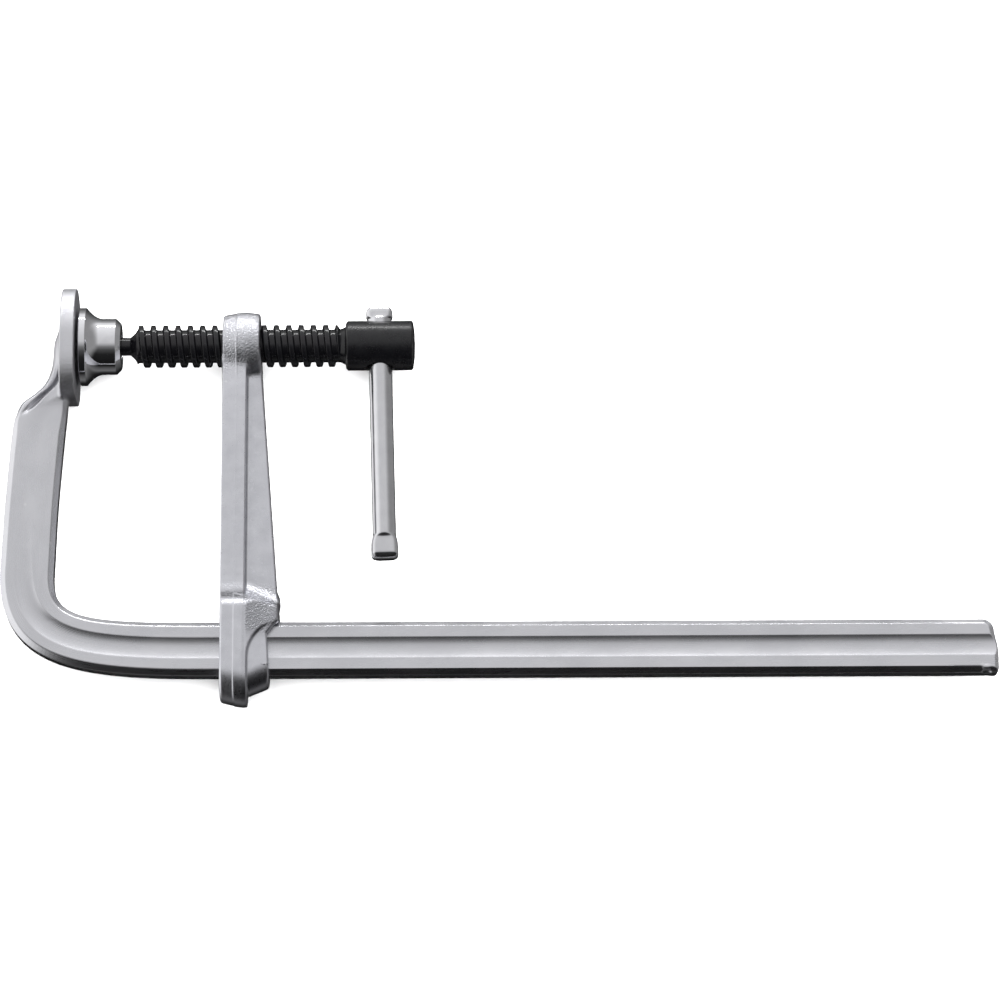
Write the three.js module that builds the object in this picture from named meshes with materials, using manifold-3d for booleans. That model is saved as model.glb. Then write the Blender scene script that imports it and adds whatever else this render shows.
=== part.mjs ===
// An all-steel f clamp, lying flat and almost closed. Millimetres, +Z up.
// In the clamp's own axes, X runs along the bar away from the fixed jaw, Y runs from the bar up to the
// spindle, and X = Y = Z = 0 is the centre of the fixed jaw's clamping face, on the spindle's axis.
// The whole clamp is then placed so that the origin is on the floor under the middle of its box.
import * as THREE from "three";
import { mergeVertices } from "three/addons/utils/BufferGeometryUtils.js";
import Module from "manifold-3d";

const wasm = await Module();
wasm.setup();

// ---- Driving dimensions -------------------------------------------------------------------------

// The bar is a drawn flat with a shallow round groove along both sides.
const BAR_DROP = 127.7; // spindle axis to the bar's centre line
const BAR_WIDTH = 22;
const BAR_THICKNESS = 10.5;
const BAR_EDGE_RADIUS = 1.5;
const BAR_END_X = 370;
const BAR_END_CORNER = 4.5; // radius of the free end's inner corner
const GROOVE_HALF_WIDTH = 4.7;
const GROOVE_DEPTH = 1;

// The bar is bent up into the fixed arm, whose end is forged flat into an oval jaw.
const BEND_START_X = 50;
const BEND_STATIONS = 10;
const BEND_TOP_Y = -96; // where the bend has become the fixed arm
const OUTER_BEND_TOP_X = -29;
const OUTER_BEND_HANDLES = [[0, -138.4], [-28.9, -133]];
const INNER_BEND_TOP_X = -7.4;
const INNER_BEND_HANDLES = [[0, -116.6], [-7.9, -113.5]];
// Fixed arm upwards: outer edge, inner edge, thickness and share of the groove, which fades out.
const ARM_STATIONS = [
  { outer: [-27.6, -67], inner: [-6.3, -67], thickness: 10.5, groove: 0.3 },
  { outer: [-25.4, -37], inner: [-4.2, -37], thickness: 10.7, groove: 0.05 },
  { outer: [-23.2, -27], inner: [-3.4, -26], thickness: 11, groove: 0 },
  { outer: [-16.8, -20], inner: [-3, -17], thickness: 12, groove: 0 },
  { outer: [-11.4, -12.5], inner: [-3, -10], thickness: 12.5, groove: 0 },
  { outer: [-9.8, -3], inner: [-3, -3], thickness: 12, groove: 0 },
  { outer: [-8.4, 6], inner: [-3, 6], thickness: 9, groove: 0 },
];
const JAW_HALF_WIDTH = 24.2; // along Y
const JAW_HALF_HEIGHT = 19.5; // along Z
const JAW_THICKNESS = 6;
const JAW_LOW_POWER = 3.6; // how square the jaw's lower half is, where 2 is an ellipse
const JAW_LOW_SHARE = 0.945; // how far the jaw reaches down, as a share of how far it reaches up
const JAW_BACK_SHARE = 0.93; // width of the flat back, as a share of the jaw's width
const BURR_RADIUS = 2;

// The sliding arm is a forging of T section: a flange that faces the fixed jaw and a web behind it.
const ARM_X = 59.6; // the flange's face
const FLANGE_THICKNESS = 9.9;
const FLANGE_HALF_HEIGHT = 11.4;
const COLLAR_HALF_HEIGHT = 12.5;
const COLLAR_TOP_Y = -109.5;
const COLLAR_STEP = 7; // height of the slope from the flange out to the collar
const COLLAR_LOW_Y = -138.4; // centre of the collar's round underside
const WEB_HALF_HEIGHT = 4.5;
const WEB_TOP_Y = -8;
const WEB_LOW_Y = -112;
const WEB_TOP_BACK_X = 75.2;
const WEB_LOW_BACK_X = 82.7;
const COLLAR_BACK_X = 82.9;
const COLLAR_BACK_HALF_HEIGHT = 9.7; // the collar's draft makes it lower towards its back
const HOLLOW_RADIUS = 12.6; // of the concave arc from the collar down to the cheek
const HOLLOW_TOP_Y = -117.2;
const CHEEK_HALF_HEIGHT = 9.5;
const CHEEK_LOW_Y = -135.6;
const CHEEK_BACK_X = 79.2;
const BOSS_LENGTH = 14.9;
const BOSS_END_RADIUS = 12.5;
const BOSS_CROWN_RADIUS = 13.8;
const MOUTH_EXTRA = 0.9; // how much wider the threaded hole's bevelled mouths are than the thread
const MOUTH_DEPTH = 1.4;

// The spindle has a single-start trapezoidal right-hand thread.
const PITCH = 5;
const CREST_SHIFT = 0.7; // from a whole number of pitches to the crest on the screw's +Y side
const THREAD_RADIUS = 8.6;
const ROOT_RADIUS = 6.7;
const CREST_WIDTH = 1.8;
const FLANK_WIDTH = 0.5;
const THREAD_CLEARANCE = 0.35;
const THREAD_START_X = 24.2;
const THREAD_END_X = 107.2;
const BALL_X = 9.8;
const BALL_RADIUS = 4.9;
const NECK_RADIUS = 3.65;
const HEAD_X = 109.2;
const HEAD_LENGTH = 27.4;
const HEAD_RADIUS = 10.1;
const HEAD_DOME = 0.7;

// The tommy bar slides through the head and leans a little in its hole.
const CROSS_HOLE_X = 123;
const CROSS_HOLE_RADIUS = 5.3;
const ROD_RADIUS = 4.75;
const ROD_ABOVE = 15.8; // from the spindle's axis to the rod's near end
const ROD_BELOW = 90.2;
const ROD_LEAN = THREE.MathUtils.degToRad(1.4);
const SWAGE_HALF_WIDTH = 5.5; // the rod's flattened ends are wider than its hole
const SWAGE_HALF_THICKNESS = 4.1;

// The pressure pad swivels on the spindle's ball, which a ring in the pad's mouth holds in.
const PAD_GAP = 1; // from the fixed jaw to the pad
const PAD_LENGTH = 17;
const PAD_RIM_RADIUS = 15.9;
const PAD_RIM_THICKNESS = 3;
const PAD_NECK_RADIUS = 11.4;
const PAD_MOUTH_RADIUS = 5.4;
const RING_X = 15.7;
const RING_THICKNESS = 0.7;
const RING_GROOVE_RADIUS = 6.3;

const CLEARANCE = 0.3; // between pieces that slide or turn on each other
const THROUGH = 5; // how far a cutting piece runs past the face that it cuts

const FINE_SIDES = 32;
const THREAD_SIDES = 20;

const BAR_Y = -BAR_DROP;
const BOX_MIDDLE_X = (BAR_END_X + OUTER_BEND_TOP_X) / 2;
const BOX_MIDDLE_Y = (JAW_HALF_WIDTH + COLLAR_LOW_Y - COLLAR_HALF_HEIGHT) / 2;

// ---- Materials ----------------------------------------------------------------------------------

const zincSteel = new THREE.MeshStandardMaterial({ color: 0xb9b9bd, roughness: 0.42, metalness: 0.9 });
const forgedSteel = new THREE.MeshStandardMaterial({ color: 0xb4b5bb, roughness: 0.5, metalness: 0.85 });
const blackSteel = new THREE.MeshStandardMaterial({ color: 0x151518, roughness: 0.35, metalness: 0.6 });
const brightSteel = new THREE.MeshStandardMaterial({ color: 0xc4c5c8, roughness: 0.2, metalness: 1 });
const rodSteel = new THREE.MeshStandardMaterial({ color: 0xa9aab0, roughness: 0.36, metalness: 0.9 });

// ---- Helpers ------------------------------------------------------------------------------------

// A closed three.js geometry as a solid that can be joined and cut.
function solid(geometry) {
  const bare = geometry.clone();
  bare.deleteAttribute("normal");
  bare.deleteAttribute("uv");
  const merged = mergeVertices(bare, 1e-4);
  return new wasm.Manifold(
    new wasm.Mesh({
      numProp: 3,
      vertProperties: new Float32Array(merged.attributes.position.array),
      triVerts: new Uint32Array(merged.index.array),
    }),
  );
}

function join(...pieces) {
  return pieces.reduce((whole, piece) => whole.add(piece));
}

// A named mesh from a solid.
function meshOf(name, piece, material) {
  const { vertProperties, triVerts } = piece.getMesh();
  const geometry = new THREE.BufferGeometry();
  geometry.setAttribute("position", new THREE.BufferAttribute(vertProperties, 3));
  geometry.setIndex(new THREE.BufferAttribute(triVerts, 1));
  geometry.computeVertexNormals();
  const mesh = new THREE.Mesh(geometry, material);
  mesh.name = name;
  return mesh;
}

// A solid turned about the X axis from [x, radius] pairs that start and end on the axis.
function turned(profile, sides = FINE_SIDES) {
  const points = profile.map(([x, radius]) => new THREE.Vector2(radius, x));
  return solid(new THREE.LatheGeometry(points, sides).rotateZ(-Math.PI / 2));
}

// A flat outline in X and Y given thickness evenly about Z = 0.
function plate(shape, thickness) {
  const settings = { depth: thickness, bevelEnabled: false, curveSegments: 10 };
  const geometry = new THREE.ExtrudeGeometry(shape, settings);
  return solid(geometry.translate(0, 0, -thickness / 2));
}

// An outline across the bar, drawn in Z and Y, run along X.
function alongX(shape, fromX, toX) {
  const settings = { depth: toX - fromX, bevelEnabled: false, curveSegments: 10 };
  const geometry = new THREE.ExtrudeGeometry(shape, settings);
  const turn = new THREE.Matrix4().makeBasis(
    new THREE.Vector3(0, 0, -1),
    new THREE.Vector3(0, 1, 0),
    new THREE.Vector3(1, 0, 0),
  );
  return solid(geometry.applyMatrix4(turn).translate(fromX, 0, 0));
}

function block(minimum, maximum) {
  const size = new THREE.Vector3().subVectors(maximum, minimum);
  const middle = new THREE.Vector3().addVectors(minimum, maximum).multiplyScalar(0.5);
  return solid(new THREE.BoxGeometry(size.x, size.y, size.z).translate(middle.x, middle.y, middle.z));
}

// A closed skin over rings of points that all have the same number of points.
function loft(rings) {
  const count = rings[0].length;
  const middles = [rings[0], rings.at(-1)].map((ring) =>
    ring.reduce((sum, point) => sum.add(point), new THREE.Vector3()).divideScalar(count),
  );
  const positions = [...rings.flat(), ...middles].flatMap((point) => point.toArray());
  const firstMiddle = rings.length * count;
  const faces = [];
  for (let k = 0; k < count; k += 1) {
    const next = (k + 1) % count;
    const last = (rings.length - 1) * count;
    faces.push(firstMiddle, next, k);
    faces.push(firstMiddle + 1, last + k, last + next);
    for (let i = 0; i < rings.length - 1; i += 1) {
      const a = i * count + k;
      const b = i * count + next;
      faces.push(a, b, a + count);
      faces.push(b, b + count, a + count);
    }
  }
  const geometry = new THREE.BufferGeometry();
  geometry.setAttribute("position", new THREE.Float32BufferAttribute(positions, 3));
  geometry.setIndex(faces);
  return solid(geometry);
}

// A right-hand threaded rod along X, closed by flat walls beyond both of its useful ends.
// The thread's crest, its two flanks and its root follow one another along each turn.
function threadedRod(fromX, toX, clearance) {
  const crest = THREAD_RADIUS + clearance;
  const root = ROOT_RADIUS + clearance;
  const crestWidth = CREST_WIDTH + 2 * clearance;
  const profile = [
    [0, root],
    [FLANK_WIDTH, crest],
    [FLANK_WIDTH + crestWidth, crest],
    [2 * FLANK_WIDTH + crestWidth, root],
  ];
  const startX = fromX - PITCH - (FLANK_WIDTH + crestWidth / 2);
  const turns = Math.ceil((toX - startX) / PITCH) + 1;
  const phase = (2 * Math.PI * startX) / PITCH + (2 * Math.PI * (FLANK_WIDTH + crestWidth / 2)) / PITCH;
  const kinds = profile.length;
  const steps = turns * THREAD_SIDES;
  const positions = [];
  for (let i = 0; i <= steps + THREAD_SIDES; i += 1) {
    const turn = (2 * Math.PI * i) / THREAD_SIDES;
    for (const [offset, radius] of profile) {
      const x = startX + CREST_SHIFT + (PITCH * i) / THREAD_SIDES + offset;
      positions.push(x, radius * Math.cos(turn + phase), radius * Math.sin(turn + phase));
    }
  }
  const at = (i, k) => (k === kinds ? (i + THREAD_SIDES) * kinds : i * kinds + k);
  const faces = [];
  for (let i = 0; i < steps; i += 1) {
    for (let k = 0; k < kinds; k += 1) {
      faces.push(at(i, k), at(i + 1, k), at(i, k + 1));
      faces.push(at(i + 1, k), at(i + 1, k + 1), at(i, k + 1));
    }
  }
  const startMiddle = positions.length / 3;
  positions.push(startX + CREST_SHIFT, 0, 0, startX + CREST_SHIFT + PITCH * turns, 0, 0);
  for (let i = 0; i < THREAD_SIDES; i += 1) {
    faces.push(startMiddle, at(i + 1, 0), at(i, 0));
    faces.push(startMiddle + 1, at(steps + i, 0), at(steps + i + 1, 0));
  }
  for (let k = 0; k < kinds; k += 1) {
    faces.push(startMiddle, at(0, k), at(0, k + 1));
    faces.push(startMiddle + 1, at(steps, k + 1), at(steps, k));
  }
  const geometry = new THREE.BufferGeometry();
  geometry.setAttribute("position", new THREE.Float32BufferAttribute(positions, 3));
  geometry.setIndex(faces);
  return solid(geometry);
}

// ---- Bow: the bar, the bend, the fixed arm and the jaw, all one forging -------------------------

// One cross-section of the bar between its outer and inner edges; grooveShare scales the groove.
function barSection(outer, inner, thickness, grooveShare) {
  const middle = new THREE.Vector2().addVectors(outer, inner).multiplyScalar(0.5);
  const across = new THREE.Vector2().subVectors(inner, outer);
  const halfWidth = across.length() / 2;
  across.normalize();
  const scale = Math.min(1, halfWidth / (BAR_WIDTH / 2));
  const half = thickness / 2;
  const side = [];
  for (const step of [0, 1, 2]) {
    const angle = (step * Math.PI) / 4;
    const u = halfWidth - BAR_EDGE_RADIUS * (1 - Math.cos(angle));
    side.push([u, half - BAR_EDGE_RADIUS * (1 - Math.sin(angle))]);
  }
  for (const step of [0, 1, 2]) {
    const share = 1 - step / 2;
    const u = GROOVE_HALF_WIDTH * share * scale;
    side.push([u, half - GROOVE_DEPTH * grooveShare * (1 - share * share)]);
  }
  const upper = [...side, ...side.slice(0, -1).reverse().map(([u, z]) => [-u, z])];
  const outline = [...upper, ...upper.map(([u, z]) => [-u, -z])];
  return outline.map(
    ([u, z]) => new THREE.Vector3(middle.x + across.x * u, middle.y + across.y * u, -z),
  );
}

// Makes the lower half of a unit disc across X squarer and shorter.
function squareLowerHalf(disc, power, length) {
  const points = disc.attributes.position;
  for (let i = 0; i < points.count; i += 1) {
    const y = points.getY(i);
    const z = points.getZ(i);
    const reach = Math.hypot(y, z);
    if (y < 0 && reach > 0) {
      const share = reach / (Math.abs(y) ** power + Math.abs(z) ** power) ** (1 / power);
      points.setY(i, y * share * length);
      points.setZ(i, z * share);
    }
  }
  return disc;
}

function makeBow() {
  const outerY = BAR_Y - BAR_WIDTH / 2;
  const innerY = BAR_Y + BAR_WIDTH / 2;
  const point = (x, y) => new THREE.Vector2(x, y);
  const bend = (startY, handles, topX) =>
    new THREE.CubicBezierCurve(
      point(BEND_START_X, startY),
      point(...handles[0]),
      point(...handles[1]),
      point(topX, BEND_TOP_Y),
    );
  const outerBend = bend(outerY, OUTER_BEND_HANDLES, OUTER_BEND_TOP_X);
  const innerBend = bend(innerY, INNER_BEND_HANDLES, INNER_BEND_TOP_X);
  const rings = [];
  const cornerSteps = 3;
  for (let i = 0; i <= cornerSteps; i += 1) {
    const angle = (i / cornerSteps) * (Math.PI / 2);
    const x = BAR_END_X - BAR_END_CORNER * (1 - Math.sin(angle));
    const inner = innerY - BAR_END_CORNER * (1 - Math.cos(angle));
    rings.unshift(barSection(point(x, outerY), point(x, inner), BAR_THICKNESS, 1));
  }
  for (let i = 0; i <= BEND_STATIONS; i += 1) {
    const t = i / BEND_STATIONS;
    rings.push(barSection(outerBend.getPoint(t), innerBend.getPoint(t), BAR_THICKNESS, 1));
  }
  for (const { outer, inner, thickness, groove } of ARM_STATIONS) {
    rings.push(barSection(point(...outer), point(...inner), thickness, groove));
  }
  const shank = loft(rings);

  const oval = new THREE.LatheGeometry(
    [
      [0, -JAW_THICKNESS],
      [JAW_BACK_SHARE, -JAW_THICKNESS + 0.6],
      [1, -JAW_THICKNESS + 2],
      [1, -0.8],
      [0.975, 0],
      [0, 0],
    ].map(([share, x]) => new THREE.Vector2(share, x)),
    FINE_SIDES,
  );
  const disc = squareLowerHalf(oval.rotateZ(-Math.PI / 2), JAW_LOW_POWER, JAW_LOW_SHARE);
  const jaw = solid(disc.scale(1, JAW_HALF_WIDTH, JAW_HALF_HEIGHT));

  // A burr staked up on the free end keeps the sliding arm from coming off.
  const burr = solid(
    new THREE.SphereGeometry(BURR_RADIUS, 10, 6)
      .scale(1.4, 1, 0.7)
      .translate(BAR_END_X - BAR_END_CORNER, outerY + 1.5, BAR_THICKNESS / 2 - 0.8),
  );
  return meshOf("bow", join(shank, jaw, burr), zincSteel);
}

// ---- Sliding arm --------------------------------------------------------------------------------

function makeSlidingArm() {
  const flangeBackX = ARM_X + FLANGE_THICKNESS;
  const face = new THREE.Shape();
  face.moveTo(-FLANGE_HALF_HEIGHT, 0);
  face.lineTo(-FLANGE_HALF_HEIGHT, COLLAR_TOP_Y + COLLAR_STEP);
  face.lineTo(-COLLAR_HALF_HEIGHT, COLLAR_TOP_Y);
  face.lineTo(-COLLAR_HALF_HEIGHT, COLLAR_LOW_Y);
  face.absarc(0, COLLAR_LOW_Y, COLLAR_HALF_HEIGHT, Math.PI, 2 * Math.PI, false);
  face.lineTo(COLLAR_HALF_HEIGHT, COLLAR_TOP_Y);
  face.lineTo(FLANGE_HALF_HEIGHT, COLLAR_TOP_Y + COLLAR_STEP);
  face.lineTo(FLANGE_HALF_HEIGHT, 0);
  const flange = alongX(face, ARM_X, flangeBackX);

  const boss = turned([
    [ARM_X, 0],
    [ARM_X, BOSS_END_RADIUS],
    [ARM_X + BOSS_LENGTH * 0.3, BOSS_CROWN_RADIUS - 0.2],
    [ARM_X + BOSS_LENGTH * 0.55, BOSS_CROWN_RADIUS],
    [ARM_X + BOSS_LENGTH * 0.85, BOSS_CROWN_RADIUS - 0.6],
    [ARM_X + BOSS_LENGTH, BOSS_END_RADIUS],
    [ARM_X + BOSS_LENGTH, 0],
  ]);

  // The web widens towards the collar.
  const webOutline = new THREE.Shape();
  webOutline.moveTo(flangeBackX - 1, WEB_TOP_Y);
  webOutline.lineTo(flangeBackX - 1, WEB_LOW_Y);
  webOutline.lineTo(WEB_LOW_BACK_X, WEB_LOW_Y);
  webOutline.lineTo(WEB_TOP_BACK_X, WEB_TOP_Y);
  const web = plate(webOutline, 2 * WEB_HALF_HEIGHT);

  // The collar is full height next to the flange, and a concave arc leads down to the lower cheek.
  const collarTopY = COLLAR_TOP_Y + COLLAR_STEP;
  const collarInsideY = COLLAR_LOW_Y - 2; // inside the flange's round underside
  const collarPlan = new THREE.Shape();
  collarPlan.moveTo(flangeBackX - 1, collarTopY + 2);
  collarPlan.lineTo(flangeBackX - 1, collarInsideY);
  collarPlan.lineTo(flangeBackX + CLEARANCE, collarInsideY);
  collarPlan.absarc(
    flangeBackX + CLEARANCE + HOLLOW_RADIUS,
    HOLLOW_TOP_Y - HOLLOW_RADIUS,
    HOLLOW_RADIUS,
    Math.PI,
    Math.PI / 2,
    true,
  );
  collarPlan.lineTo(COLLAR_BACK_X, HOLLOW_TOP_Y);
  collarPlan.lineTo(COLLAR_BACK_X - 0.8, collarTopY - 1.5);
  const collarSide = new THREE.Shape();
  collarSide.moveTo(-WEB_HALF_HEIGHT, collarTopY);
  collarSide.lineTo(-COLLAR_HALF_HEIGHT, COLLAR_TOP_Y - 1);
  collarSide.lineTo(-COLLAR_HALF_HEIGHT, collarInsideY - 1);
  collarSide.lineTo(COLLAR_HALF_HEIGHT, collarInsideY - 1);
  collarSide.lineTo(COLLAR_HALF_HEIGHT, COLLAR_TOP_Y - 1);
  collarSide.lineTo(WEB_HALF_HEIGHT, collarTopY);
  const collarDraft = new THREE.Shape();
  collarDraft.moveTo(ARM_X, -COLLAR_HALF_HEIGHT);
  collarDraft.lineTo(flangeBackX, -COLLAR_HALF_HEIGHT);
  collarDraft.lineTo(COLLAR_BACK_X + 1, -COLLAR_BACK_HALF_HEIGHT);
  collarDraft.lineTo(COLLAR_BACK_X + 1, COLLAR_BACK_HALF_HEIGHT);
  collarDraft.lineTo(flangeBackX, COLLAR_HALF_HEIGHT);
  collarDraft.lineTo(ARM_X, COLLAR_HALF_HEIGHT);
  const collar = plate(collarPlan, 4 * COLLAR_HALF_HEIGHT)
    .intersect(alongX(collarSide, ARM_X, CHEEK_BACK_X + 2 * THROUGH))
    .intersect(plate(collarDraft, 4 * BAR_DROP).rotate([90, 0, 0]));

  const cheekOutline = new THREE.Shape();
  cheekOutline.moveTo(-CHEEK_HALF_HEIGHT, WEB_LOW_Y);
  cheekOutline.lineTo(-CHEEK_HALF_HEIGHT, CHEEK_LOW_Y);
  cheekOutline.absarc(0, CHEEK_LOW_Y, CHEEK_HALF_HEIGHT, Math.PI, 2 * Math.PI, false);
  cheekOutline.lineTo(CHEEK_HALF_HEIGHT, WEB_LOW_Y);
  const cheek = alongX(cheekOutline, flangeBackX - 1, CHEEK_BACK_X);

  const slotHalfWidth = BAR_WIDTH / 2 + CLEARANCE;
  const slotHalfHeight = BAR_THICKNESS / 2 + CLEARANCE;
  const slot = block(
    new THREE.Vector3(ARM_X - THROUGH, BAR_Y - slotHalfWidth, -slotHalfHeight),
    new THREE.Vector3(CHEEK_BACK_X + THROUGH, BAR_Y + slotHalfWidth, slotHalfHeight),
  );
  const hole = threadedRod(ARM_X - THROUGH, ARM_X + BOSS_LENGTH + THROUGH, THREAD_CLEARANCE);
  const mouthRadius = THREAD_RADIUS + MOUTH_EXTRA;
  const farFaceX = ARM_X + BOSS_LENGTH;
  const mouths = [
    turned([
      [ARM_X - THROUGH, 0],
      [ARM_X - THROUGH, mouthRadius],
      [ARM_X, mouthRadius],
      [ARM_X + MOUTH_DEPTH, mouthRadius - MOUTH_DEPTH],
      [ARM_X + MOUTH_DEPTH, 0],
    ]),
    turned([
      [farFaceX - MOUTH_DEPTH, 0],
      [farFaceX - MOUTH_DEPTH, mouthRadius - MOUTH_DEPTH],
      [farFaceX, mouthRadius],
      [farFaceX + THROUGH, mouthRadius],
      [farFaceX + THROUGH, 0],
    ]),
  ];
  const whole = join(flange, boss, web, collar, cheek);
  return meshOf("sliding_arm", whole.subtract(slot).subtract(join(hole, ...mouths)), forgedSteel);
}

// ---- Spindle, pad, ring and tommy bar -----------------------------------------------------------

function makeSpindle() {
  const envelope = turned([
    [THREAD_START_X - 2, 0],
    [THREAD_START_X - 2, ROOT_RADIUS],
    [THREAD_START_X, THREAD_RADIUS + 1],
    [THREAD_END_X - 1.4, THREAD_RADIUS + 1],
    [THREAD_END_X + 0.6, ROOT_RADIUS],
    [THREAD_END_X + 0.6, 0],
  ]);
  const thread = threadedRod(THREAD_START_X - 2, THREAD_END_X + 1, 0).intersect(envelope);

  const neckAngle = Math.acos(-NECK_RADIUS / BALL_RADIUS) - Math.PI / 2;
  const ballSteps = 8;
  const tip = [[BALL_X - BALL_RADIUS, 0]];
  for (let i = 1; i <= ballSteps; i += 1) {
    const angle = (i / ballSteps) * (Math.PI - neckAngle);
    tip.push([BALL_X - BALL_RADIUS * Math.cos(angle), BALL_RADIUS * Math.sin(angle)]);
  }
  const core = turned([
    ...tip,
    [21.2, NECK_RADIUS],
    [23.4, ROOT_RADIUS - 0.6],
    [THREAD_START_X, ROOT_RADIUS - 0.1],
    [THREAD_END_X, ROOT_RADIUS - 0.1],
    [HEAD_X, HEAD_RADIUS - 2.2],
    [HEAD_X, HEAD_RADIUS - 0.8],
    [HEAD_X + 0.8, HEAD_RADIUS],
    [HEAD_X + HEAD_LENGTH - 0.8, HEAD_RADIUS],
    [HEAD_X + HEAD_LENGTH, HEAD_RADIUS - 1.2],
    [HEAD_X + HEAD_LENGTH + HEAD_DOME, HEAD_RADIUS / 2],
    [HEAD_X + HEAD_LENGTH + HEAD_DOME, 0],
  ]);
  const crossHole = solid(
    new THREE.CylinderGeometry(
      CROSS_HOLE_RADIUS,
      CROSS_HOLE_RADIUS,
      4 * HEAD_RADIUS,
      THREAD_SIDES,
    ).translate(CROSS_HOLE_X, 0, 0),
  );
  return meshOf("spindle", join(core, thread).subtract(crossHole), blackSteel);
}

function makeTommyBar() {
  const sides = 20;
  // Distance along the rod from the spindle's axis, half width along X and half thickness along Z.
  // Both ends are flattened, so they are wider than the hole that the rod slides through.
  const stations = [
    [-ROD_ABOVE, SWAGE_HALF_WIDTH - 0.8, SWAGE_HALF_THICKNESS - 0.6],
    [-ROD_ABOVE + 0.7, SWAGE_HALF_WIDTH, SWAGE_HALF_THICKNESS],
    [-ROD_ABOVE + 4.2, SWAGE_HALF_WIDTH, SWAGE_HALF_THICKNESS],
    [-ROD_ABOVE + 5.3, ROD_RADIUS, ROD_RADIUS],
    [ROD_BELOW - 9.6, ROD_RADIUS, ROD_RADIUS],
    [ROD_BELOW - 7.4, SWAGE_HALF_WIDTH, SWAGE_HALF_THICKNESS],
    [ROD_BELOW - 0.8, SWAGE_HALF_WIDTH, SWAGE_HALF_THICKNESS],
    [ROD_BELOW, SWAGE_HALF_WIDTH - 0.7, SWAGE_HALF_THICKNESS - 0.8],
  ];
  const rings = stations.map(([along, halfWidth, halfThickness]) => {
    const ring = [];
    for (let k = 0; k < sides; k += 1) {
      const angle = (2 * Math.PI * k) / sides;
      ring.push(new THREE.Vector3(halfWidth * Math.cos(angle), -along, halfThickness * Math.sin(angle)));
    }
    return ring;
  });
  const mesh = meshOf("tommy_bar", loft(rings), rodSteel);
  mesh.position.set(CROSS_HOLE_X, 0, 0);
  mesh.rotation.z = ROD_LEAN;
  return mesh;
}

function makePressurePad() {
  const backX = PAD_GAP + PAD_LENGTH;
  const flareStart = PAD_GAP + PAD_RIM_THICKNESS + 0.4;
  const flareLength = 6;
  const flare = [];
  const flareSteps = 4;
  for (let i = 0; i <= flareSteps; i += 1) {
    const angle = (i / flareSteps) * (Math.PI / 2);
    const radius = PAD_RIM_RADIUS - 0.5 - (PAD_RIM_RADIUS - 0.5 - PAD_NECK_RADIUS) * Math.sin(angle);
    flare.push([flareStart + flareLength * (1 - Math.cos(angle)), radius]);
  }
  const seatRadius = BALL_RADIUS + CLEARANCE;
  const seat = [];
  const seatSteps = 6;
  for (let i = 0; i <= seatSteps; i += 1) {
    const angle = (i / seatSteps) * (Math.PI / 2);
    seat.push([BALL_X - seatRadius * Math.sin(angle), seatRadius * Math.cos(angle)]);
  }
  const body = turned([
    [PAD_GAP, 0],
    [PAD_GAP, PAD_RIM_RADIUS - 0.6],
    [PAD_GAP + 0.6, PAD_RIM_RADIUS],
    [PAD_GAP + PAD_RIM_THICKNESS, PAD_RIM_RADIUS],
    ...flare,
    [backX - 2, PAD_NECK_RADIUS],
    [backX, PAD_NECK_RADIUS - 2],
    [backX, PAD_MOUTH_RADIUS],
    [RING_X + RING_THICKNESS + 0.6, PAD_MOUTH_RADIUS],
    [RING_X + RING_THICKNESS + 0.6, RING_GROOVE_RADIUS],
    [RING_X - 0.6, RING_GROOVE_RADIUS],
    [RING_X - 0.6, seatRadius],
    ...seat,
  ]);
  return meshOf("pressure_pad", body, brightSteel);
}

function makeRetainingRing() {
  const inner = NECK_RADIUS + 0.4;
  const outer = RING_GROOVE_RADIUS - 0.6;
  const washer = turned([
    [RING_X, 0],
    [RING_X, outer],
    [RING_X + RING_THICKNESS, outer],
    [RING_X + RING_THICKNESS, 0],
  ]);
  const hole = turned([
    [RING_X - THROUGH, 0],
    [RING_X - THROUGH, inner],
    [RING_X + THROUGH, inner],
    [RING_X + THROUGH, 0],
  ]);
  return meshOf("retaining_ring", washer.subtract(hole), brightSteel);
}

// ---- Assembly -----------------------------------------------------------------------------------

const spindleSet = new THREE.Group();
spindleSet.add(makeSpindle(), makeTommyBar());

const screwSet = new THREE.Group();
screwSet.add(makeRetainingRing(), makePressurePad(), spindleSet);

const armSet = new THREE.Group();
armSet.add(makeSlidingArm(), screwSet);

const fClamp = new THREE.Group();
fClamp.add(makeBow(), armSet);
fClamp.position.set(-BOX_MIDDLE_X, -BOX_MIDDLE_Y, JAW_HALF_HEIGHT);

export default new THREE.Group().add(fClamp);
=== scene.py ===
"""Detailed meshes, materials, light and camera for an all-steel f clamp lying flat.

Shapes are worked out in millimetres in the clamp's own axes: X runs along the bar away from the fixed
jaw, Y runs from the bar up to the spindle, Z is up, and zero is the centre of the fixed jaw's clamping
face, on the spindle's axis. place() turns them into the frame's metres.
"""

import math

import bpy
import numpy as np
import openvdb
from mathutils import Matrix, Vector


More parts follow.
